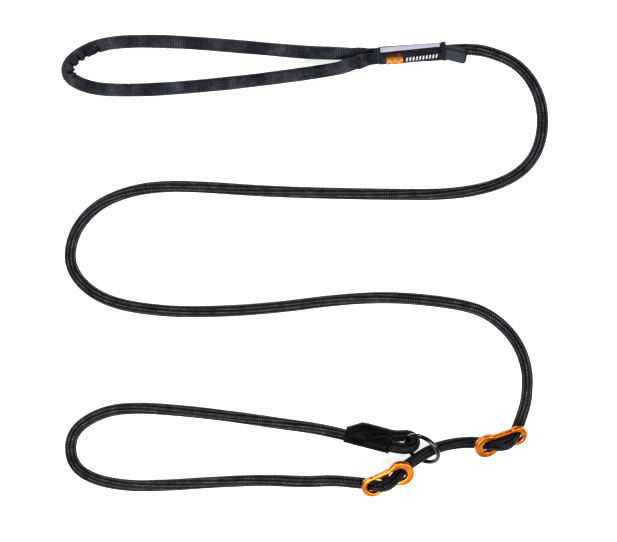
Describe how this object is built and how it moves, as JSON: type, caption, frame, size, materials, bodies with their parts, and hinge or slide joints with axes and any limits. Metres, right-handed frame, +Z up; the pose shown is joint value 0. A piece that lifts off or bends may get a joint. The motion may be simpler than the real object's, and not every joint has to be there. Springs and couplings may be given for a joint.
{
  "type": "slip lead training leash",
  "caption": "Flat-lying rope slip leash with a padded webbing hand loop, a sewn label join, sliding figure-eight stoppers and a ring that runs on the rope to close the neck loop.",
  "frame": {"origin": "on the floor under the middle of the leash's bounding box", "axes": "+Z up; +Y from the neck loop towards the hand loop; +X from the hand loop's bend towards the stoppers"},
  "size_m": [0.4276, 0.4055, 0.0298],
  "materials": {
    "handle_webbing_fabric": "ribbed tubular webbing",
    "rope_sheath_fabric": "braided polyester sheath",
    "cord_core_fabric": "undyed core yarn",
    "label_fabric": "woven label",
    "reflective_fabric": "retroreflective tape",
    "emblem_fabric": "woven emblem",
    "thread_light": "sewing thread",
    "thread_dark": "sewing thread",
    "tab_webbing": "smooth flat webbing",
    "orange_anodised": "satin orange anodised",
    "black_steel": "gloss black",
    "sleeve_rubber": "matte shrunk sleeve"
  },
  "bodies": {
    "leash": {"handle_webbing": "handle_webbing_fabric", "handle_core": "cord_core_fabric", "join_webbing": "handle_webbing_fabric", "label_patch": "label_fabric", "reflective_strip": "reflective_fabric", "emblem_patch": "emblem_fabric", "label_threads": "thread_light", "join_stitching": "thread_light", "end_bartack": "thread_dark", "pull_tab": "tab_webbing", "lead_sheath": "rope_sheath_fabric", "lead_core": "cord_core_fabric", "slip_run_sheath": "rope_sheath_fabric", "slip_run_core": "cord_core_fabric", "neck_loop_sheath": "rope_sheath_fabric", "neck_loop_core": "cord_core_fabric"},
    "outer_stopper": {"outer_stopper": "orange_anodised", "outer_weave_sheath": "rope_sheath_fabric", "outer_weave_core": "cord_core_fabric"},
    "inner_stopper": {"inner_stopper": "orange_anodised", "inner_weave_sheath": "rope_sheath_fabric", "inner_weave_core": "cord_core_fabric"},
    "slip_end": {"eye_sheath": "rope_sheath_fabric", "eye_core": "cord_core_fabric", "end_sleeve": "sleeve_rubber", "eye_whipping": "thread_dark"},
    "ring": {"slip_ring": "black_steel"}
  },
  "joints": [
    {"name": "outer_stopper_slide", "type": "slide", "parent": "leash", "child": "outer_stopper", "axis": [-0.9835, -0.1809, 0], "range_m": [0, 0.011], "deforming": ["lead_sheath", "lead_core", "slip_run_sheath", "slip_run_core"]},
    {"name": "inner_stopper_slide", "type": "slide", "parent": "leash", "child": "inner_stopper", "axis": [-1, 0, 0], "range_m": [0, 0.04], "deforming": ["slip_run_sheath", "slip_run_core", "neck_loop_sheath", "neck_loop_core"]},
    {"name": "slip_end_slide", "type": "slide", "parent": "leash", "child": "slip_end", "axis": [0.9397, 0.3419, 0], "range_m": [-0.005, 0.016], "deforming": ["neck_loop_sheath", "neck_loop_core", "slip_run_sheath", "slip_run_core"]},
    {"name": "ring_spin", "type": "hinge", "parent": "slip_end", "child": "ring", "pos_m": [0.1026, -0.16, 0.015], "axis": [-0.464, -0.6627, 0.5878], "continuous": true}
  ]
}
